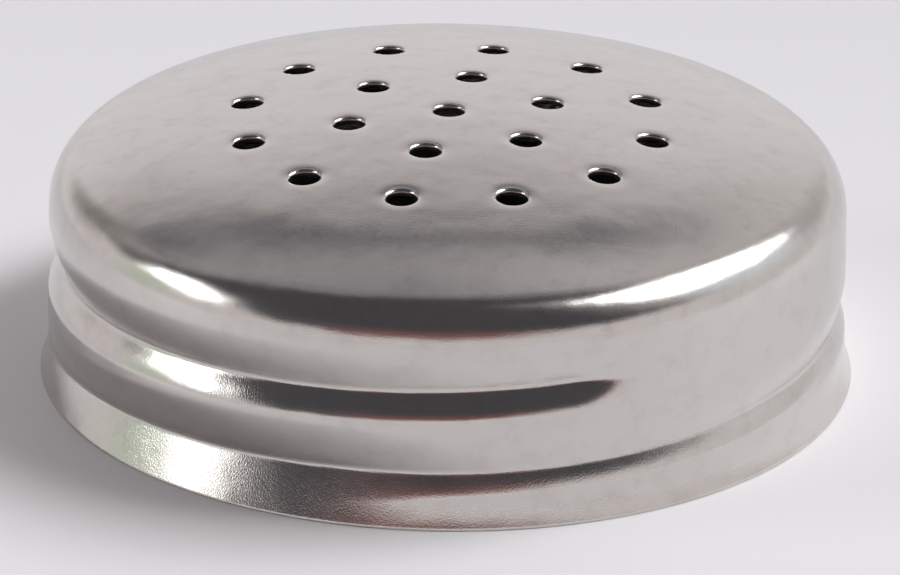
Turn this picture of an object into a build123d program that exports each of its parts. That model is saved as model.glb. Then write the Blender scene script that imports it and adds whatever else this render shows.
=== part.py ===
from build123d import *
import os
from math import asin, ceil, cos, degrees, radians, sin, sqrt

# Shaker lid: one drawn and pressed cup of thin steel sheet, open at the bottom.
# Units are millimetres. The cut edge of the skirt stands on z = 0 and the axis is +Z.
# The viewer's side is -Y.

# Sheet and overall form, measured on the outside
sheet = 0.4
overall_height = 14.0
wall_radius = 20.6
skirt_flare = 0.4
skirt_height = 1.5

# Crown: a shallow dome that turns into the wall over a round shoulder
crown_radius = 75.0
shoulder_radius = 2.9

# Rolled thread: one right-hand groove that fades in at the top and out at the bottom
thread_pitch = 4.23
thread_depth = 0.75
lower_turn_depth = 0.4
thread_top = 7.3
thread_start_angle = -55.0
thread_turns = 1.38
depth_change_start = 180.0
depth_change_end = 300.0
fade_in_angle = 22.0
fade_out_angle = 70.0

# The groove's section: a long upper flank, a crease and a steeper lower flank
upper_flank = 1.75
lower_flank = 1.25
least_flank_share = 0.3
flank_curve = 1.5
flank_shares = (1.0, 0.6, 0.25)
section_step = 10.0
sections_per_length = 6

# Pour holes: one in the middle and two rings, each punched square to the dome
hole_diameter = 1.7
inner_ring_radius = 5.3
inner_ring_count = 6
outer_ring_radius = 10.6
outer_ring_count = 12
pattern_angle = -102.5
hole_bevel = 0.12
punch_length = 2.0

# The groove tool stands this far outside the wall at its lips and its two tips
tool_lip = 0.04
tool_run_out = 0.05
tool_margin = 2.0
slope_step = 0.01

# What follows from the sizes above
rim_radius = wall_radius + skirt_flare
crown_centre_height = overall_height - crown_radius
shoulder_centre_r = wall_radius - shoulder_radius
shoulder_centre_z = crown_centre_height + sqrt(
    (crown_radius - shoulder_radius) ** 2 - shoulder_centre_r**2
)
crown_edge_angle = degrees(asin(shoulder_centre_r / (crown_radius - shoulder_radius)))


def smooth_step(value):
    """0 below 0, 1 above 1 and a smooth S between them."""
    value = min(max(value, 0.0), 1.0)
    return value * value * (3.0 - 2.0 * value)


def wall_outside(height):
    """Outside radius of the plain wall and its flared skirt, before the thread is rolled in."""
    return wall_radius + skirt_flare * max(1.0 - height / skirt_height, 0.0)


def thread_depth_at(turned):
    """Depth of the groove after it has turned this many degrees down from its top tip."""
    full_turn = 360.0 * thread_turns
    change = (turned - depth_change_start) / (depth_change_end - depth_change_start)
    depth = thread_depth + (lower_turn_depth - thread_depth) * smooth_step(change)
    fade_in = smooth_step(turned / fade_in_angle)
    fade_out = smooth_step((full_turn - turned) / fade_out_angle)
    return (depth + tool_run_out) * fade_in * fade_out - tool_run_out


def groove_points(turned, inset):
    """Section of the groove from its upper to its lower lip, moved inwards by the inset."""
    crease_height = thread_top - thread_pitch * turned / 360.0
    depth = thread_depth_at(turned)
    flank_share = least_flank_share + (1.0 - least_flank_share) * max(depth, 0.0) / thread_depth
    upper = upper_flank * flank_share
    lower = lower_flank * flank_share

    def outside(offset):
        flank = upper if offset > 0 else lower
        bump = (1.0 - min(abs(offset) / flank, 1.0)) ** flank_curve
        return wall_outside(crease_height + offset) - depth * bump + tool_lip * (1.0 - bump)

    def moved_inwards(offset):
        slope = (outside(offset + slope_step) - outside(offset - slope_step)) / (2.0 * slope_step)
        across = inset / sqrt(1.0 + slope * slope)
        return (outside(offset) - across, crease_height + offset + across * slope)

    upper_points = [moved_inwards(upper * share) for share in flank_shares]
    lower_points = [moved_inwards(-lower * share) for share in reversed(flank_shares)]
    return upper_points + [(outside(0.0) - inset, crease_height)] + lower_points


def groove_section(turned, inset):
    """Upright section of the groove tool, on the plane through the axis at this turn."""
    angle = radians(thread_start_angle - turned)
    radial = Vector(cos(angle), sin(angle), 0)
    upright = Plane(origin=(0, 0, 0), x_dir=radial, z_dir=radial.cross(Vector(0, 0, 1)))
    points = groove_points(turned, inset)
    tool_radius = rim_radius + tool_margin
    with BuildSketch(upright) as section:
        with BuildLine():
            Polyline(*points, (tool_radius, points[-1][1]), (tool_radius, points[0][1]), close=True)
        make_face()
    return section.sketch


def cup(inset):
    """Turn the plain cup, cap it with a ball, then press the thread in, all moved inwards."""
    length_count = ceil(360.0 * thread_turns / (section_step * sections_per_length))
    section_count = length_count * sections_per_length
    turns = [360.0 * thread_turns * index / section_count for index in range(section_count + 1)]
    sections = [groove_section(turned, inset) for turned in turns]
    with BuildPart() as form:
        with BuildSketch(Plane.XZ):
            with BuildLine():
                shoulder = CenterArc(
                    (shoulder_centre_r, shoulder_centre_z),
                    shoulder_radius - inset,
                    0,
                    90 - crown_edge_angle,
                )
                above = (shoulder @ 1).X, overall_height
                foot = wall_radius - inset, skirt_height
                Polyline(shoulder @ 1, above, (0, overall_height), (0, 0))
                Polyline((0, 0), (rim_radius - inset, 0), foot, shoulder @ 0)
            make_face()
        revolve(axis=Axis.Z)
        # The ball lies on its side, so that no pole of its surface falls on the middle hole
        with Locations((0, 0, crown_centre_height)):
            Sphere(crown_radius - inset, rotation=(90, 0, 0), mode=Mode.INTERSECT)
        lengths = []
        for first in range(0, section_count, sections_per_length):
            lengths.append(loft(sections[first : first + sections_per_length + 1], mode=Mode.PRIVATE))
        add(lengths, mode=Mode.SUBTRACT)
    return form.part


def punch_ring(ring_radius, count):
    """Punch a ring of holes square to the dome."""
    tilt = degrees(asin(ring_radius / crown_radius))
    with Locations((0, 0, crown_centre_height)):
        with PolarLocations(0, count, start_angle=pattern_angle):
            with Locations(Rot(Y=tilt) * Pos(Z=crown_radius)):
                Cylinder(hole_diameter / 2, punch_length, mode=Mode.SUBTRACT)


def on_top_of_crown(edge):
    """True for an edge that lies on the outside of the crown."""
    crown_centre = Vector(0, 0, crown_centre_height)
    return abs((edge @ 0 - crown_centre).length - crown_radius) < sheet / 4


with BuildPart() as shaker_lid:
    add(cup(0.0))
    add(cup(sheet), mode=Mode.SUBTRACT)
    shoulder_edges = edges().filter_by(on_top_of_crown)
    punch_ring(0, 1)
    punch_ring(inner_ring_radius, inner_ring_count)
    punch_ring(outer_ring_radius, outer_ring_count)
    # The punch enters from above and breaks the upper edge of every hole
    chamfer(edges().filter_by(on_top_of_crown) - shoulder_edges, hole_bevel)

shaker_lid.part.label = "shaker_lid"
os.makedirs("parts", exist_ok=True)
export_step(shaker_lid.part, "parts/shaker_lid.step")
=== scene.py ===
"""Shaker lid: the looks of a drawn and pressed steel lid, with its studio and camera.

Lengths are in metres, with +Z up and the viewer's side at -Y. The frame is loaded first,
because the lid's rim comes from it.
"""

import math

import bmesh
import bpy
import numpy as np
from mathutils import Matrix, Vector


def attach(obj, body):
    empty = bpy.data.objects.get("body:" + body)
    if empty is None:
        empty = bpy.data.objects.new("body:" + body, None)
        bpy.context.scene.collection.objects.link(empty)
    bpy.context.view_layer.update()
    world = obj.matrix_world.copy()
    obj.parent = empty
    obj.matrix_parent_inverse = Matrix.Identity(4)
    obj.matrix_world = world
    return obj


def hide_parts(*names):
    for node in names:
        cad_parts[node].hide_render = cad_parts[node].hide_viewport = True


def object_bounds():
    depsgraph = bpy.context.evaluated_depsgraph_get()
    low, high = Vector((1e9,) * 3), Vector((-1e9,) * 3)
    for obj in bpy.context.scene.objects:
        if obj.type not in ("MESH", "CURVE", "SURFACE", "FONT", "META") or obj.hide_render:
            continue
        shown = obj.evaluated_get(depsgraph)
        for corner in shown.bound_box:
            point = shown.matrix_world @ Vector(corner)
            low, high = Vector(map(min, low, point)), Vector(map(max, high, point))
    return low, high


bl_info = {
    "name": "Shaker Lid",
    "version": (1, 0, 0),
    "blender": (4, 5, 0),
    "location": "3D View > Sidebar > Shaker Lid",
    "description": "Makes a pressed steel shaker lid, its studio and its camera",
    "category": "Add Mesh",
}

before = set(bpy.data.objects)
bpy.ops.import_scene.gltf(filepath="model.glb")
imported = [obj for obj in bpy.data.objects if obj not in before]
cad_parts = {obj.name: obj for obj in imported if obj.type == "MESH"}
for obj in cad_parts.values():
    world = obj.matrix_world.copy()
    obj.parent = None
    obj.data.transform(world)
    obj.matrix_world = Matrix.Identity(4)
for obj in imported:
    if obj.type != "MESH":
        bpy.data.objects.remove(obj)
cad_low, cad_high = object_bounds()

MM = 0.001
DEGREE = math.pi / 180
WELD_DISTANCE = 0.001 * MM
PHOTO_WIDTH_PX = 900
SENSOR_WIDTH_MM = 36.0
FLOOR_HALF_WIDTH = 2.0

# The wall's grid has a column every 1.25 degrees. The rows of its plain part are given as from, to and
# how many, and those of its threaded part as from, to and step.
GRID_STEP = 1.25 * DEGREE
DOME_ROWS, HAUNCH_ROWS, SHOULDER_ROWS = 3, 13, 25
PLAIN_ROWS_MM = (10.9, 9.9, 4)
THREADED_BELOW_MM = 9.8
THREAD_ROWS_MM = (9.75, 1.55, -0.1)
SKIRT_TOP_MM, SKIRT_ROWS = 1.5, 14
EDGE_ROWS = 4

# Holes in each ring, and the rows of the grid round a hole, which crowd toward it
RING_HOLES = (6, 12)
CELL_SIDE_POINTS = 12
PLATE_ROWS, PLATE_CROWDING = 9, 1.6
ROLL_ROWS = 6
CUT_SHARES = (0.35, 0.75)
UNDER_ROWS, UNDER_CROWDING = 6, 1.4


def linear(hex_colour):
    """An sRGB hex colour as linear red, green, blue and an alpha of 1."""
    channels = [int(hex_colour[i:i + 2], 16) / 255 for i in (1, 3, 5)]
    return [c / 12.92 if c <= 0.04045 else ((c + 0.055) / 1.055) ** 2.4 for c in channels] + [1.0]


class LidForm(bpy.types.PropertyGroup):
    """Sizes of the drawn cup, measured on its outside."""

    rim_radius: bpy.props.FloatProperty(
        name="Rim radius", description="Radius of the cut edge at the foot of the skirt",
        default=(cad_high.x - cad_low.x) / 2, unit="LENGTH", precision=5)
    crown_top: bpy.props.FloatProperty(
        name="Crown top", description="Height that the crown would have without its middle hole",
        default=13.97 * MM, unit="LENGTH", precision=5)
    sheet: bpy.props.FloatProperty(
        name="Sheet", description="Thickness of the steel sheet",
        default=0.4 * MM, unit="LENGTH", precision=5)
    crown_radius: bpy.props.FloatProperty(
        name="Crown radius", description="Radius of the shallow dome",
        default=92.0 * MM, unit="LENGTH", precision=5)
    crown_reach: bpy.props.FloatProperty(
        name="Crown reach", description="How far from the axis the shallow dome goes",
        default=13.5 * MM, unit="LENGTH", precision=5)
    haunch_radius: bpy.props.FloatProperty(
        name="Haunch radius", description="Radius of the bend between the dome and the shoulder",
        default=25.0 * MM, unit="LENGTH", precision=5)
    shoulder_radius: bpy.props.FloatProperty(
        name="Shoulder radius", description="Radius of the round shoulder",
        default=2.8 * MM, unit="LENGTH", precision=5)
    wall_spread: bpy.props.FloatProperty(
        name="Wall spread", description="How much wider the wall is at its foot than at its top",
        default=0.2 * MM, unit="LENGTH", precision=5)
    skirt_height: bpy.props.FloatProperty(
        name="Skirt height", description="Height of the flared skirt",
        default=1.4 * MM, unit="LENGTH", precision=5)
    skirt_flare: bpy.props.FloatProperty(
        name="Skirt flare", description="How far the rim stands out beyond the foot of the wall",
        default=0.4 * MM, unit="LENGTH", precision=5)
    skirt_curve: bpy.props.FloatProperty(
        name="Skirt curve", description="1 for a straight skirt, more for one that turns out at its edge",
        default=1.6)
    edge_break: bpy.props.FloatProperty(
        name="Edge break", description="Radius that rounds the cut edge",
        default=0.06 * MM, unit="LENGTH", precision=5)


class ThreadForm(bpy.types.PropertyGroup):
    """Sizes of the groove that is rolled into the wall as a right-hand thread."""

    pitch: bpy.props.FloatProperty(
        name="Pitch", description="Drop of the groove in one turn",
        default=4.23 * MM, unit="LENGTH", precision=5)
    top: bpy.props.FloatProperty(
        name="Top", description="Height of the groove's crease where it starts",
        default=7.3 * MM, unit="LENGTH", precision=5)
    start_angle: bpy.props.FloatProperty(
        name="Start angle", description="Where round the lid the groove starts",
        default=-60 * DEGREE, subtype="ANGLE")
    turn_angle: bpy.props.FloatProperty(
        name="Turn angle", description="How far the groove goes round in all",
        default=492 * DEGREE, subtype="ANGLE")
    fade_in: bpy.props.FloatProperty(
        name="Fade in", description="Angle over which the groove deepens at its start",
        default=12 * DEGREE, subtype="ANGLE")
    fade_out: bpy.props.FloatProperty(
        name="Fade out", description="Angle over which the groove dies away at its end",
        default=70 * DEGREE, subtype="ANGLE")
    upper_depth: bpy.props.FloatProperty(
        name="Upper depth", description="Depth of the groove in its first turn",
        default=0.75 * MM, unit="LENGTH", precision=5)
    lower_depth: bpy.props.FloatProperty(
        name="Lower depth", description="Depth of the groove one turn lower",
        default=0.49 * MM, unit="LENGTH", precision=5)
    change_start: bpy.props.FloatProperty(
        name="Change start", description="How far round the groove starts to get shallower",
        default=175 * DEGREE, subtype="ANGLE")
    change_end: bpy.props.FloatProperty(
        name="Change end", description="How far round the groove has its lower depth",
        default=295 * DEGREE, subtype="ANGLE")
    upper_flank: bpy.props.FloatProperty(
        name="Upper flank", description="Height of the gentle flank at the groove's full depth",
        default=2.45 * MM, unit="LENGTH", precision=5)
    lower_flank: bpy.props.FloatProperty(
        name="Lower flank", description="Height of the steep flank at the groove's full depth",
        default=1.35 * MM, unit="LENGTH", precision=5)
    least_share: bpy.props.FloatProperty(
        name="Least share", description="Share of a flank's height that is left where the groove has no depth",
        default=0.5)
    spread_start: bpy.props.FloatProperty(
        name="Spread start", description="How far round the lower flank starts to spread over the skirt",
        default=383 * DEGREE, subtype="ANGLE")
    spread_end: bpy.props.FloatProperty(
        name="Spread end", description="How far round the lower flank reaches the cut edge",
        default=409 * DEGREE, subtype="ANGLE")
    spread_depth: bpy.props.FloatProperty(
        name="Spread depth", description="Depth of the groove where its lower flank reaches the cut edge",
        default=0.85 * MM, unit="LENGTH", precision=5)
    flank_curve: bpy.props.FloatProperty(
        name="Flank curve", description="Above 1, how softly the flanks leave the wall",
        default=1.35)
    crease_softness: bpy.props.FloatProperty(
        name="Crease softness", description="Width over which the bottom of the groove is rounded",
        default=0.08 * MM, unit="LENGTH", precision=5)


class HoleForm(bpy.types.PropertyGroup):
    """Sizes of the pour holes, one in the middle and two rings round it."""

    diameter: bpy.props.FloatProperty(
        name="Diameter", description="Diameter of each hole",
        default=1.56 * MM, unit="LENGTH", precision=5)
    ring_step: bpy.props.FloatProperty(
        name="Ring step", description="Distance from the middle to the first ring and on to the second",
        default=5.3 * MM, unit="LENGTH", precision=5)
    pattern_angle: bpy.props.FloatProperty(
        name="Pattern angle", description="Where round the lid the first hole of each ring is",
        default=-102.5 * DEGREE, subtype="ANGLE")
    roll_width: bpy.props.FloatProperty(
        name="Roll width", description="Width of the edge that the punch rolled over",
        default=0.19 * MM, unit="LENGTH", precision=5)
    roll_depth: bpy.props.FloatProperty(
        name="Roll depth", description="Depth of the edge that the punch rolled over",
        default=0.15 * MM, unit="LENGTH", precision=5)
    dish_width: bpy.props.FloatProperty(
        name="Dish width", description="Width of the ring that the punch pulled down a little",
        default=0.7 * MM, unit="LENGTH", precision=5)
    dish_depth: bpy.props.FloatProperty(
        name="Dish depth", description="Depth of the ring that the punch pulled down a little",
        default=0.06 * MM, unit="LENGTH", precision=5)


class FinishForm(bpy.types.PropertyGroup):
    """Colours of the steel and of the floor."""

    steel: bpy.props.FloatVectorProperty(
        name="Steel", description="Colour of the tumbled sheet",
        default=linear("#cfcbc7"), size=4, min=0.0, max=1.0, subtype="COLOR")
    stain: bpy.props.FloatVectorProperty(
        name="Stain", description="Colour of the faint marks on the sheet",
        default=linear("#c5c0bc"), size=4, min=0.0, max=1.0, subtype="COLOR")
    # Colour of the walls of the holes: darker than the sheet as painted shade in the holes
    sheared_and_shaded: bpy.props.FloatVectorProperty(
        name="Sheared", description="Colour of the steel that the punch sheared in the holes",
        default=linear("#857c79"), size=4, min=0.0, max=1.0, subtype="COLOR")
    # The floor's colour is painted lighter in front and darker behind, as light and shade
    near_floor_painted_light: bpy.props.FloatVectorProperty(
        name="Near floor", description="Colour of the floor in front of the lid",
        default=linear("#edebed"), size=4, min=0.0, max=1.0, subtype="COLOR")
    far_floor_painted_shade: bpy.props.FloatVectorProperty(
        name="Far floor", description="Colour of the floor behind the lid",
        default=linear("#dedddf"), size=4, min=0.0, max=1.0, subtype="COLOR")


class StudioForm(bpy.types.PropertyGroup):
    """Where the camera stands and how large it sees the lid."""

    camera_distance: bpy.props.FloatProperty(
        name="Camera distance", description="Distance of the camera from the point it looks at",
        default=336 * MM, unit="LENGTH", precision=5)
    camera_elevation: bpy.props.FloatProperty(
        name="Camera elevation", description="How far the camera looks down",
        default=22.93 * DEGREE, subtype="ANGLE")
    camera_roll: bpy.props.FloatProperty(
        name="Camera roll", description="How far the camera is turned about its own axis",
        default=0.7 * DEGREE, subtype="ANGLE")
    focal_px: bpy.props.FloatProperty(
        name="Focal length in pixels", description="Focal length on a picture 900 pixels wide",
        default=6510.0)
    look_right: bpy.props.FloatProperty(
        name="Look right", description="How far right of the axis the camera looks",
        default=0.17 * MM, unit="LENGTH", precision=5)
    look_height: bpy.props.FloatProperty(
        name="Look height", description="Height of the point that the camera looks at",
        default=4.1 * MM, unit="LENGTH", precision=5)


def add_node(tree, kind, settings=None, **inputs):
    """Adds a node with its settings. An input is a value or a socket to link from, and its name is the
    socket's, with _ for a space, or _ and the socket's number."""
    node = tree.nodes.new(kind)
    for name, value in (settings or {}).items():
        setattr(node, name, value)
    for name, value in inputs.items():
        place = int(name[1:]) if name[1:].isdigit() else name.replace("_", " ")
        socket = node.inputs[place]
        if isinstance(value, bpy.types.NodeSocket):
            tree.links.new(value, socket)
        else:
            socket.default_value = value
    return node


def smooth_step(value):
    """0 below 0, 1 above 1, and 3v² - 2v³ between them."""
    value = np.clip(value, 0.0, 1.0)
    return value * value * (3.0 - 2.0 * value)


def crown_height(form, radius, inset=0.0):
    """Height of the dome at a radius: the top of a ball of the crown radius, less the inset."""
    ball = form.crown_radius - inset
    return form.crown_top - form.crown_radius + np.sqrt(ball * ball - radius * radius)


def arc(centre, radius, start, end, count):
    """Points at centre + radius (sin a, cos a), with a from start to end, measured from straight up."""
    angle = np.linspace(start, end, count)
    return np.stack([centre[0] + radius * np.sin(angle), centre[1] + radius * np.cos(angle)], -1)


def skirt_share(form, height):
    """Share of the skirt's flare at a height: the drop below the wall, as a share of the skirt's height,
    to the power of the curve."""
    return np.clip((form.skirt_height - height) / form.skirt_height, 0.0, 1.0) ** form.skirt_curve


def plain_section(form, plate_radius, heights):
    """Outside of the cup before threading, as rows of (radius, height) from the pierced plate to the foot.

    The dome and the haunch are arcs that meet in line. The shoulder is the arc that touches both
    the haunch and the sloping wall. The wall is a line down to the skirt, and the skirt is a
    power of the drop below it."""
    foot_radius = form.rim_radius - form.skirt_flare
    slope = form.wall_spread / (form.crown_top - form.shoulder_radius - form.skirt_height)
    lean = math.atan(slope)
    crown_angle = math.asin(form.crown_reach / form.crown_radius)
    between = form.crown_radius - form.haunch_radius
    haunch_centre = np.array([
        between * math.sin(crown_angle),
        form.crown_top - form.crown_radius + between * math.cos(crown_angle)])
    across = np.array([math.cos(lean), math.sin(lean)])
    along = np.array([-across[1], across[0]])
    on_wall = np.array([foot_radius, form.skirt_height]) - across * form.shoulder_radius
    gap = on_wall - haunch_centre
    reach = form.haunch_radius - form.shoulder_radius
    climb = -along @ gap + math.sqrt((along @ gap) ** 2 - gap @ gap + reach * reach)
    shoulder_centre = on_wall + along * climb
    toward = shoulder_centre - haunch_centre
    haunch_angle = math.atan2(toward[0], toward[1])
    dome = np.linspace(plate_radius, form.crown_reach, DOME_ROWS)
    wall_top = shoulder_centre[1] + form.shoulder_radius * across[1]
    wall = heights[heights < wall_top]
    flare = form.skirt_flare - slope * form.skirt_height
    wall_radius = foot_radius - slope * (wall - form.skirt_height) + flare * skirt_share(form, wall)
    return np.concatenate([
        np.stack([dome, crown_height(form, dome)], -1),
        arc(haunch_centre, form.haunch_radius, crown_angle, haunch_angle, HAUNCH_ROWS)[1:],
        arc(shoulder_centre, form.shoulder_radius, haunch_angle, math.pi / 2 - lean, SHOULDER_ROWS)[1:],
        np.stack([wall_radius, wall], -1)])


def soft_distance(distance, softness):
    """A distance whose corner at zero is rounded: the square root of d² + s², less s."""
    return np.sqrt(distance * distance + softness * softness) - softness


def pressed_in(form, thread, angle, height):
    """How far the thread pushes the wall in at an angle and a height.

    The crease of the groove falls by one pitch a turn. Its cross-section is (1 - reach) to the power of
    the flank curve, where reach goes from 0 at the crease to 1 at the end of the flank above or below.
    Its depth fades in and out at the ends, and goes from the upper to the lower depth in the first turn.
    Near its end the lower flank spreads into a straight slope from the crease to the cut edge."""
    press = np.zeros(np.broadcast(angle, height).shape)
    flare = form.skirt_flare * skirt_share(form, height)
    first = np.mod(thread.start_angle - angle, 2 * math.pi)
    for turned in (first, first + 2 * math.pi):
        crease = thread.top - thread.pitch * turned / (2 * math.pi)
        fade_out = smooth_step((thread.turn_angle - turned) / thread.fade_out)
        fade = smooth_step(turned / thread.fade_in) * fade_out
        change = smooth_step((turned - thread.change_start) / (thread.change_end - thread.change_start))
        spread = smooth_step((turned - thread.spread_start) / (thread.spread_end - thread.spread_start))
        depth = thread.upper_depth + (thread.lower_depth - thread.upper_depth) * change
        depth = (depth + (thread.spread_depth - thread.lower_depth) * spread) * fade
        share = thread.least_share + (1 - thread.least_share) * depth / thread.upper_depth
        offset = height - crease
        flank = np.where(offset > 0, thread.upper_flank * share, thread.lower_flank * share)
        reach = soft_distance(offset, thread.crease_softness) / soft_distance(flank, thread.crease_softness)
        groove = depth * (1.0 - np.clip(reach, 0.0, 1.0)) ** thread.flank_curve
        fallen = np.clip(-offset / np.maximum(crease, thread.crease_softness), 0.0, 1.0)
        straight = depth + flare - (depth + form.skirt_flare) * fallen
        groove = np.where(offset > 0, groove, groove + (straight - groove) * spread * (depth > 0))
        press = np.maximum(press, groove)
    return press


def inside_of(section, sheet):
    """The section moved into the sheet along its normal, which is square to the line from the row before
    to the row after."""
    step = np.gradient(section, axis=-2)
    normal = np.stack([-step[..., 1], step[..., 0]], -1)
    normal /= np.linalg.norm(normal, axis=-1, keepdims=True)
    return section - sheet * normal


def wall_patch(form, thread, plate_radius, angles):
    """The lid outside the pierced plate, as a grid of columns round the axis and rows over the sheet.

    Rows run down the outside, round the cut edge by two quarter circles, and up the inside. The inside is
    the outside moved in by the sheet, with every other row left out, and it starts a sheet's thickness
    above the edge, so that no row of a leaning flank comes out below it."""
    low = form.edge_break
    heights = np.concatenate([
        np.linspace(*PLAIN_ROWS_MM) * MM, np.arange(*THREAD_ROWS_MM) * MM,
        np.linspace(SKIRT_TOP_MM * MM, low, SKIRT_ROWS)])
    plain = plain_section(form, plate_radius, heights)
    section = np.repeat(plain[None], len(angles), axis=0)
    threaded = plain[:, 1] < THREADED_BELOW_MM * MM
    section[:, threaded, 0] -= pressed_in(form, thread, angles[:, None], plain[None, threaded, 1])
    inside = inside_of(section, form.sheet)
    inside[:, 0] = (plate_radius, crown_height(form, plate_radius, form.sheet))
    bend = np.linspace(0, math.pi / 2, EDGE_ROWS)[1:]
    outer_edge = section[:, -1:, :] + low * np.stack([np.cos(bend) - 1, -np.sin(bend)], -1)
    back = bend[::-1]
    inner_edge = inside[:, -1:, :] * (1, 0) + low * np.stack([1 - np.cos(back), 1 - np.sin(back)], -1)
    above_edge = np.flatnonzero(plain[:, 1] > low + form.sheet)
    keep = np.r_[0, above_edge[2::2]]
    rows = np.concatenate([section, outer_edge, inner_edge, inside[:, keep[::-1]]], axis=1)
    radius, height = rows[..., 0], rows[..., 1]
    return np.stack([radius * np.cos(angles)[:, None], radius * np.sin(angles)[:, None], height], -1)


def cell_boundary(inner, outer, half_angle, arc_count, side_count):
    """Points round a cell of the plate, which is a piece of a ring between two radii, centred on angle 0.

    They go along the outer arc, in along one side, back along the inner arc and out along the other side."""
    sweep = np.linspace(-half_angle, half_angle, arc_count + 1)[:-1]
    inward = np.linspace(outer, inner, side_count + 1)[:-1]
    outward = np.linspace(inner, outer, side_count + 1)[:-1]
    radius = np.concatenate([np.full(arc_count, outer), inward, np.full(arc_count, inner), outward])
    side = np.full(side_count, half_angle)
    angle = np.concatenate([sweep, side, -sweep, -side])
    return np.stack([radius * np.cos(angle), radius * np.sin(angle)], -1)


def hole_patch(form, holes, boundary, middle):
    """One cell of the plate with its hole, as a grid of rays from the hole and rows over the sheet.

    Each ray goes straight from a point of the boundary to the hole. Rows run in over the dome, round the
    quarter ellipse that the punch rolled, down the cut wall, and back out under the sheet. The dish is a
    square law that falls from the hole to the end of its width."""
    offset = boundary - middle
    reach = np.linalg.norm(offset, axis=-1)[:, None]
    heading = offset / reach
    bore = holes.diameter / 2
    ease = np.linspace(1, 0, PLATE_ROWS)[None] ** PLATE_CROWDING
    plate = bore + holes.roll_width + (reach - bore - holes.roll_width) * ease
    bend = np.linspace(0, math.pi / 2, ROLL_ROWS)[1:]
    roll = np.repeat(bore + holes.roll_width * (1 - np.sin(bend))[None], len(reach), axis=0)
    roll_drop = holes.roll_depth * (1 - np.cos(bend))
    cut = np.full((len(reach), len(CUT_SHARES)), bore)
    under = bore + (reach - bore) * np.linspace(0, 1, UNDER_ROWS)[None] ** UNDER_CROWDING
    distance = np.concatenate([plate, roll, cut, under], axis=1)
    plan = middle + heading[:, None, :] * distance[..., None]
    radius = np.linalg.norm(plan, axis=-1)
    outside = crown_height(form, radius)
    inside = crown_height(form, radius, form.sheet)
    outside -= holes.dish_depth * np.clip(1 - (distance - bore) / holes.dish_width, 0, 1) ** 2
    first_roll = plate.shape[1]
    first_cut = first_roll + roll.shape[1]
    first_under = first_cut + cut.shape[1]
    height = outside.copy()
    height[:, first_roll:first_cut] -= roll_drop
    rolled = outside[:, first_cut:first_under] - holes.roll_depth
    drop = inside[:, first_cut:first_under] - rolled
    height[:, first_cut:first_under] = rolled + np.array(CUT_SHARES) * drop
    height[:, first_under:] = inside[:, first_under:]
    return np.concatenate([plan, height[..., None]], -1)


def turned_about_axis(points, angle):
    """Points turned about +Z by an angle."""
    c, s = math.cos(angle), math.sin(angle)
    return points @ np.array([[c, s, 0], [-s, c, 0], [0, 0, 1]])


def grid_faces(columns, rows, first, turned):
    """Quads of a grid that closes round its columns. Turned ones face the other way."""
    column = np.arange(columns)[:, None]
    row = np.arange(rows - 1)[None, :]
    here = first + column * rows + row
    beyond = first + (column + 1) % columns * rows + row
    corners = [here, beyond, beyond + 1, here + 1]
    if turned:
        corners = [here, here + 1, beyond + 1, beyond]
    return np.stack(corners, -1).reshape(-1, 4)


def mesh_from_patches(name, patches):
    """One closed, smooth mesh from grids of points whose borders meet."""
    points, faces, first = [], [], 0
    for patch, turned in patches:
        columns, rows = patch.shape[:2]
        points.append(patch.reshape(-1, 3))
        faces.append(grid_faces(columns, rows, first, turned))
        first += columns * rows
    mesh = bpy.data.meshes.new(name)
    mesh.from_pydata(np.concatenate(points), [], np.concatenate(faces))
    welded = bmesh.new()
    welded.from_mesh(mesh)
    bmesh.ops.remove_doubles(welded, verts=welded.verts, dist=WELD_DISTANCE)
    if not all(edge.is_manifold for edge in welded.edges):
        raise RuntimeError(f"{name}: the patches of the mesh don't meet in a closed surface")
    if welded.calc_volume(signed=True) < 0:
        raise RuntimeError(f"{name}: the mesh is inside out")
    welded.to_mesh(mesh)
    welded.free()
    mesh.polygons.foreach_set("use_smooth", np.ones(len(mesh.polygons), bool))
    mesh.validate()
    piece = bpy.data.objects.new(name, mesh)
    bpy.context.scene.collection.objects.link(piece)
    return piece


def sheared_and_shaded_share(tree, place, form):
    """1 on the walls of the holes and on the inside of the plate, where the steel is rougher and its
    colour is painted darker as shade, and 0 on the outside of the lid.

    It grows with the depth below the dome, which is the crown radius less the distance from the centre
    of the dome's ball, and stops at the edge of the plate, beyond which the shoulder falls away too."""
    centre = (0.0, 0.0, form.crown_top - form.crown_radius)
    distance = add_node(tree, "ShaderNodeVectorMath", {"operation": "DISTANCE"}, _0=place, _1=centre)
    deep = add_node(tree, "ShaderNodeMapRange", Value=distance.outputs["Value"],
                    From_Min=form.crown_radius - 0.1 * MM, From_Max=form.crown_radius - 0.2 * MM)
    plan = add_node(tree, "ShaderNodeVectorMath", {"operation": "MULTIPLY"}, _0=place, _1=(1.0, 1.0, 0.0))
    radius = add_node(tree, "ShaderNodeVectorMath", {"operation": "LENGTH"}, _0=plan.outputs["Vector"])
    pierced = add_node(tree, "ShaderNodeMapRange", Value=radius.outputs["Value"],
                       From_Min=form.crown_reach - 0.5 * MM, From_Max=form.crown_reach - 1.0 * MM)
    return add_node(tree, "ShaderNodeMath", {"operation": "MULTIPLY"},
                    _0=deep.outputs["Result"], _1=pierced.outputs["Result"]).outputs["Value"]


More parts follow.
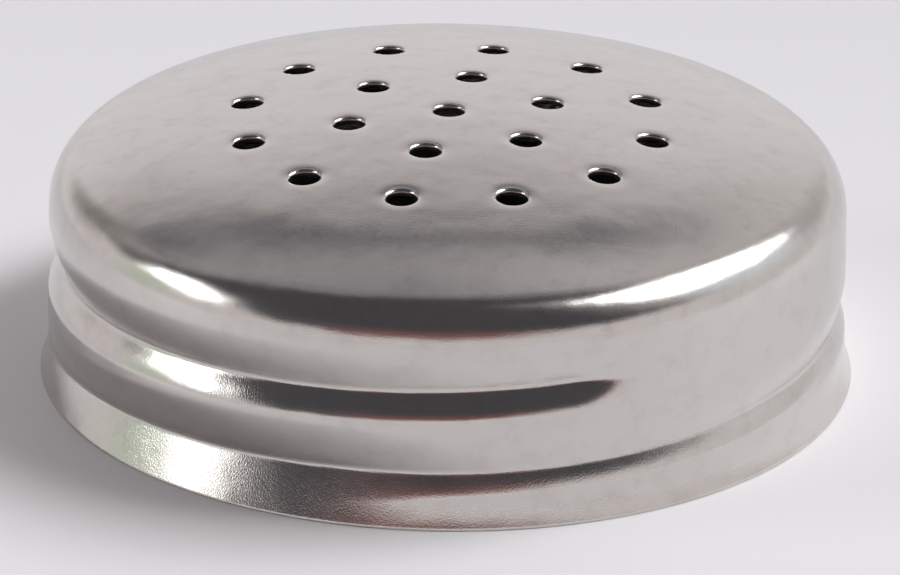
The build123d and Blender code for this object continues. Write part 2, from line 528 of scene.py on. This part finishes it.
def stainless_sheet(form, finish):
    """Stainless steel sheet, drawn and then tumbled: a soft grey mirror with a fine grain.

    Drawing leaves shallow waves some millimetres long, which bend the edges of what the dome mirrors.
    Tumbling leaves a satin grain, coarsest on the skirt. The real grain is too fine to show, so it is
    drawn 0.085 mm wide. The punch leaves the walls of the holes rougher, and their colour is painted
    darker as shade in the holes."""
    material = bpy.data.materials.new("tumbled_stainless_sheet")
    material.use_nodes = True
    tree = material.node_tree
    tree.nodes.clear()
    place = add_node(tree, "ShaderNodeTexCoord").outputs["Object"]
    grain = add_node(tree, "ShaderNodeTexNoise", Vector=place, Scale=1 / (0.085 * MM), Detail=2.0,
                     Roughness=0.6).outputs["Fac"]
    waves = add_node(tree, "ShaderNodeTexNoise", Vector=place, Scale=1 / (4.5 * MM), Detail=2.0,
                     Roughness=0.5).outputs["Fac"]
    marks = add_node(tree, "ShaderNodeTexNoise", Vector=place, Scale=1 / (1.4 * MM), Detail=5.0,
                     Roughness=0.65).outputs["Fac"]
    height = add_node(tree, "ShaderNodeSeparateXYZ", Vector=place).outputs["Z"]
    grain_depth = add_node(tree, "ShaderNodeMapRange", Value=height, From_Min=3 * MM, From_Max=1.5 * MM,
                           To_Min=0.0065 * MM, To_Max=0.0105 * MM).outputs["Result"]
    wavy = add_node(tree, "ShaderNodeBump", Height=waves, Strength=1.0, Distance=0.07 * MM)
    grainy = add_node(tree, "ShaderNodeBump", Height=grain, Strength=1.0, Distance=grain_depth,
                      Normal=wavy.outputs["Normal"])
    stained = add_node(tree, "ShaderNodeMapRange", Value=marks, From_Min=0.5, From_Max=0.75)
    sheet = add_node(tree, "ShaderNodeMix", {"data_type": "RGBA"}, _0=stained.outputs["Result"],
                     _6=finish.steel, _7=finish.stain)
    sheen = add_node(tree, "ShaderNodeMapRange", Value=waves, From_Min=0.3, From_Max=0.7,
                     To_Min=0.11, To_Max=0.15)
    # The walls of the holes get a colour painted darker as shade in the holes, and a rougher finish
    sheared_and_shaded = sheared_and_shaded_share(tree, place, form)
    colour = add_node(tree, "ShaderNodeMix", {"data_type": "RGBA"}, _0=sheared_and_shaded, _6=sheet.outputs[2],
                      _7=finish.sheared_and_shaded)
    roughness = add_node(tree, "ShaderNodeMix", {"data_type": "FLOAT"}, _0=sheared_and_shaded,
                         _2=sheen.outputs["Result"], _3=0.3)
    metal = add_node(tree, "ShaderNodeBsdfPrincipled", Metallic=1.0, Base_Color=colour.outputs[2],
                     Roughness=roughness.outputs[0], Normal=grainy.outputs["Normal"])
    add_node(tree, "ShaderNodeOutputMaterial", Surface=metal.outputs["BSDF"])
    return material


class SHAKER_OT_lid(bpy.types.Operator):
    """Make the pressed lid: the pierced dome, the shoulder, the threaded wall and the skirt"""

    bl_idname = "shaker.lid"
    bl_label = "Pressed Lid"

    def execute(self, context):
        scene = context.scene
        form, holes = scene.lid_form, scene.lid_holes
        plate_radius = (len(RING_HOLES) + 0.5) * holes.ring_step
        around = GRID_STEP * np.arange(round(2 * math.pi / GRID_STEP))
        wall = wall_patch(form, scene.lid_thread, plate_radius, holes.pattern_angle + around)
        middle_cell = holes.ring_step / 2 * np.stack([np.cos(around), np.sin(around)], -1)
        middle = hole_patch(form, holes, middle_cell, np.zeros(2))
        patches = [(wall, True), (turned_about_axis(middle, holes.pattern_angle), False)]
        for ring, count in enumerate(RING_HOLES, 1):
            cell_angle = 2 * math.pi / count
            boundary = cell_boundary(
                (ring - 0.5) * holes.ring_step, (ring + 0.5) * holes.ring_step,
                cell_angle / 2, round(cell_angle / GRID_STEP), CELL_SIDE_POINTS)
            patch = hole_patch(form, holes, boundary, np.array([ring * holes.ring_step, 0.0]))
            for hole in range(count):
                turned = turned_about_axis(patch, holes.pattern_angle + hole * cell_angle)
                patches.append((turned, False))
        lid = mesh_from_patches("pressed_lid", patches)
        lid.data.materials.append(stainless_sheet(form, scene.lid_finish))
        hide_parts("shaker_lid")
        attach(lid, "root")
        return {"FINISHED"}


class Surround:
    """The light that comes from each direction, built up from soft patches on a plain ground.

    Azimuth 0 is the viewer's side and 90 is the right. Angles are in degrees. A noise moves the edges of
    the patches up and down by some degrees, as the uneven things in a room would."""

    def __init__(self, tree, ground):
        self.tree = tree
        heading = add_node(tree, "ShaderNodeTexCoord").outputs["Generated"]
        x, y, z = add_node(tree, "ShaderNodeSeparateXYZ", Vector=heading).outputs
        self.azimuth = self.math("ARCTAN2", x, self.math("MULTIPLY", y, -1.0))
        noise = add_node(tree, "ShaderNodeTexNoise", Vector=heading, Scale=7.0, Detail=2.0).outputs["Fac"]
        ripple = self.math("MULTIPLY", self.math("SUBTRACT", noise, 0.5), 12 * DEGREE)
        self.elevation = self.math("ADD", self.math("ARCSINE", z), ripple)
        self.colour = add_node(tree, "ShaderNodeRGB").outputs["Color"]
        self.colour.default_value = linear(ground)

    def math(self, operation, *values):
        """The result of a Math node on values or sockets."""
        inputs = {f"_{index}": value for index, value in enumerate(values)}
        return add_node(self.tree, "ShaderNodeMath", {"operation": operation}, **inputs).outputs["Value"]

    def inside(self, distance, half, edge):
        """1 within half of the middle, falling softly to 0 over the edge."""
        fall = add_node(self.tree, "ShaderNodeMapRange", {"interpolation_type": "SMOOTHSTEP"},
                        Value=distance, From_Min=(half + edge / 2) * DEGREE,
                        From_Max=(half - edge / 2) * DEGREE)
        return fall.outputs["Result"]

    def patch(self, azimuths, elevations, edges, colour, strength=1.0, slant=0.0):
        """Lays a patch over what is there. The slant is how far it rises for each degree to the right."""
        middle = (azimuths[0] + azimuths[1]) / 2
        level = (elevations[0] + elevations[1]) / 2
        aside = self.math("WRAP", self.math("SUBTRACT", self.azimuth, middle * DEGREE), math.pi, -math.pi)
        rise = self.math("MULTIPLY_ADD", aside, slant, level * DEGREE)
        above = self.math("SUBTRACT", self.elevation, rise)
        mask = self.math(
            "MULTIPLY",
            self.inside(self.math("ABSOLUTE", aside), (azimuths[1] - azimuths[0]) / 2, edges[0]),
            self.inside(self.math("ABSOLUTE", above), (elevations[1] - elevations[0]) / 2, edges[1]))
        light = [channel * strength for channel in linear(colour)[:3]] + [1.0]
        mix = add_node(self.tree, "ShaderNodeMix", {"data_type": "RGBA"}, _0=mask, _6=self.colour, _7=light)
        self.colour = mix.outputs[2]


class SHAKER_OT_studio(bpy.types.Operator):
    """Make the studio: a pale floor, the light from all round and the camera"""

    bl_idname = "shaker.studio"
    bl_label = "Studio"

    def execute(self, context):
        self.make_floor(context, context.scene.lid_finish)
        self.make_surround(context)
        self.make_camera(context, context.scene.lid_studio)
        context.scene.view_settings.view_transform = "Standard"
        return {"FINISHED"}

    def make_surround(self, context):
        """Pale walls under a dark ceiling, with the lights and the tinted patches that the steel mirrors."""
        world = bpy.data.worlds.new("studio_surround")
        world.use_nodes = True
        tree = world.node_tree
        surround = Surround(tree, "#e3dede")
        # The dark ceiling and the paler part behind the lid that the dome mirrors
        surround.patch((-190, 190), (23, 92), (1, 6), "#504f53")
        surround.patch((132, 228), (-40, 48), (34, 6), "#ece8ea")
        surround.patch((128, 250), (30, 50), (24, 20), "#b6b1b1")
        surround.patch((128, 245), (56, 76), (24, 14), "#96949a")
        surround.patch((128, 255), (44, 61), (20, 4), "#a8a5a8")
        surround.patch((112, 172), (42, 64), (34, 10), "#c8c5c6")
        # The dark band across the front of the dome
        surround.patch((141, 242), (39, 47), (10, 2), "#6a6b72")
        # Dull and tinted patches on the left and in front
        surround.patch((-148, -126), (12, 38), (16, 16), "#95918c")
        surround.patch((-58, -24), (17, 30), (10, 6), "#58575b")
        surround.patch((-103, -86), (2, 28), (10, 14), "#cdd9c9")
        surround.patch((-30, 24), (14, 28), (24, 8), "#865f5e")
        # The large soft light on the right, with its pale surround
        surround.patch((112, 160), (6, 50), (20, 14), "#d6d2d2")
        surround.patch((62, 146), (20, 68), (26, 14), "#b9b5b5", slant=-0.25)
        surround.patch((80, 126), (17, 40), (20, 14), "#ebf0f5", slant=-0.25)
        surround.patch((78, 127), (38, 58), (14, 11), "#fcfdff", 12.9, slant=-0.25)
        # The small light on the left
        surround.patch((-97, -78), (24, 34), (7, 8), "#ffffff", 7.5)
        surround.patch((-84, -71), (18, 31), (8, 8), "#ffffff", 4.5)
        tree.links.new(surround.colour, tree.nodes["Background"].inputs["Color"])
        context.scene.world = world

    def make_floor(self, context, finish):
        """A wide pale board that the lid stands on, of a satin paint. Its colour is painted lighter in front
        of the lid and darker behind it, as light and shade on the floor.
        """
        half = FLOOR_HALF_WIDTH
        mesh = bpy.data.meshes.new("floor")
        corners = [(-half, -half, 0), (half, -half, 0), (half, half, 0), (-half, half, 0)]
        mesh.from_pydata(corners, [], [(0, 1, 2, 3)])
        material = bpy.data.materials.new("painted_board")
        material.use_nodes = True
        tree = material.node_tree
        shader = tree.nodes["Principled BSDF"]
        place = add_node(tree, "ShaderNodeTexCoord").outputs["Object"]
        away = add_node(tree, "ShaderNodeSeparateXYZ", Vector=place).outputs["Y"]
        # Painted light and shade: the floor's colour goes from lighter in front to darker behind
        far = add_node(tree, "ShaderNodeMapRange", Value=away, From_Min=-20 * MM, From_Max=70 * MM)
        colour = add_node(tree, "ShaderNodeMix", {"data_type": "RGBA"}, _0=far.outputs["Result"],
                          _6=finish.near_floor_painted_light, _7=finish.far_floor_painted_shade)
        tree.links.new(colour.outputs[2], shader.inputs["Base Color"])
        shader.inputs["Roughness"].default_value = 0.6
        mesh.materials.append(material)
        floor = bpy.data.objects.new("floor", mesh)
        context.scene.collection.objects.link(floor)

    def make_camera(self, context, studio):
        """The camera on the viewer's side, looking down on the lid and turned a little about its axis."""
        down = studio.camera_elevation
        target = Vector((studio.look_right, 0, studio.look_height))
        back = Vector((0, -math.cos(down), math.sin(down)))
        right = Vector((1, 0, 0))
        up = back.cross(right)
        roll = studio.camera_roll
        turned_right = math.cos(roll) * right + math.sin(roll) * up
        turned_up = -math.sin(roll) * right + math.cos(roll) * up
        lens = bpy.data.cameras.new("camera")
        lens.sensor_width = SENSOR_WIDTH_MM
        lens.lens = studio.focal_px / PHOTO_WIDTH_PX * SENSOR_WIDTH_MM
        lens.clip_start = 0.01
        camera = bpy.data.objects.new("camera", lens)
        axes = Matrix((turned_right, turned_up, back)).transposed().to_4x4()
        camera.matrix_world = Matrix.Translation(target + studio.camera_distance * back) @ axes
        context.scene.collection.objects.link(camera)
        context.scene.camera = camera


class SHAKER_PT_panel(bpy.types.Panel):
    """Lists what makes the lid and its studio"""

    bl_label = "Shaker Lid"
    bl_idname = "SHAKER_PT_panel"
    bl_space_type = "VIEW_3D"
    bl_region_type = "UI"
    bl_category = "Shaker Lid"

    def draw(self, context):
        for group in GROUPS:
            settings = getattr(context.scene, group)
            for name in settings.__annotations__:
                self.layout.prop(settings, name)
        self.layout.operator("shaker.lid")
        self.layout.operator("shaker.studio")


GROUPS = {
    "lid_form": LidForm,
    "lid_thread": ThreadForm,
    "lid_holes": HoleForm,
    "lid_finish": FinishForm,
    "lid_studio": StudioForm,
}
CLASSES = (*GROUPS.values(), SHAKER_OT_lid, SHAKER_OT_studio, SHAKER_PT_panel)


def register():
    for each in CLASSES:
        bpy.utils.register_class(each)
    for name, group in GROUPS.items():
        setattr(bpy.types.Scene, name, bpy.props.PointerProperty(type=group))


def unregister():
    for name in GROUPS:
        delattr(bpy.types.Scene, name)
    for each in reversed(CLASSES):
        bpy.utils.unregister_class(each)


def main():
    """Makes the lid and its studio."""
    register()
    bpy.ops.shaker.lid()
    bpy.ops.shaker.studio()


if __name__ == "__main__":
    main()
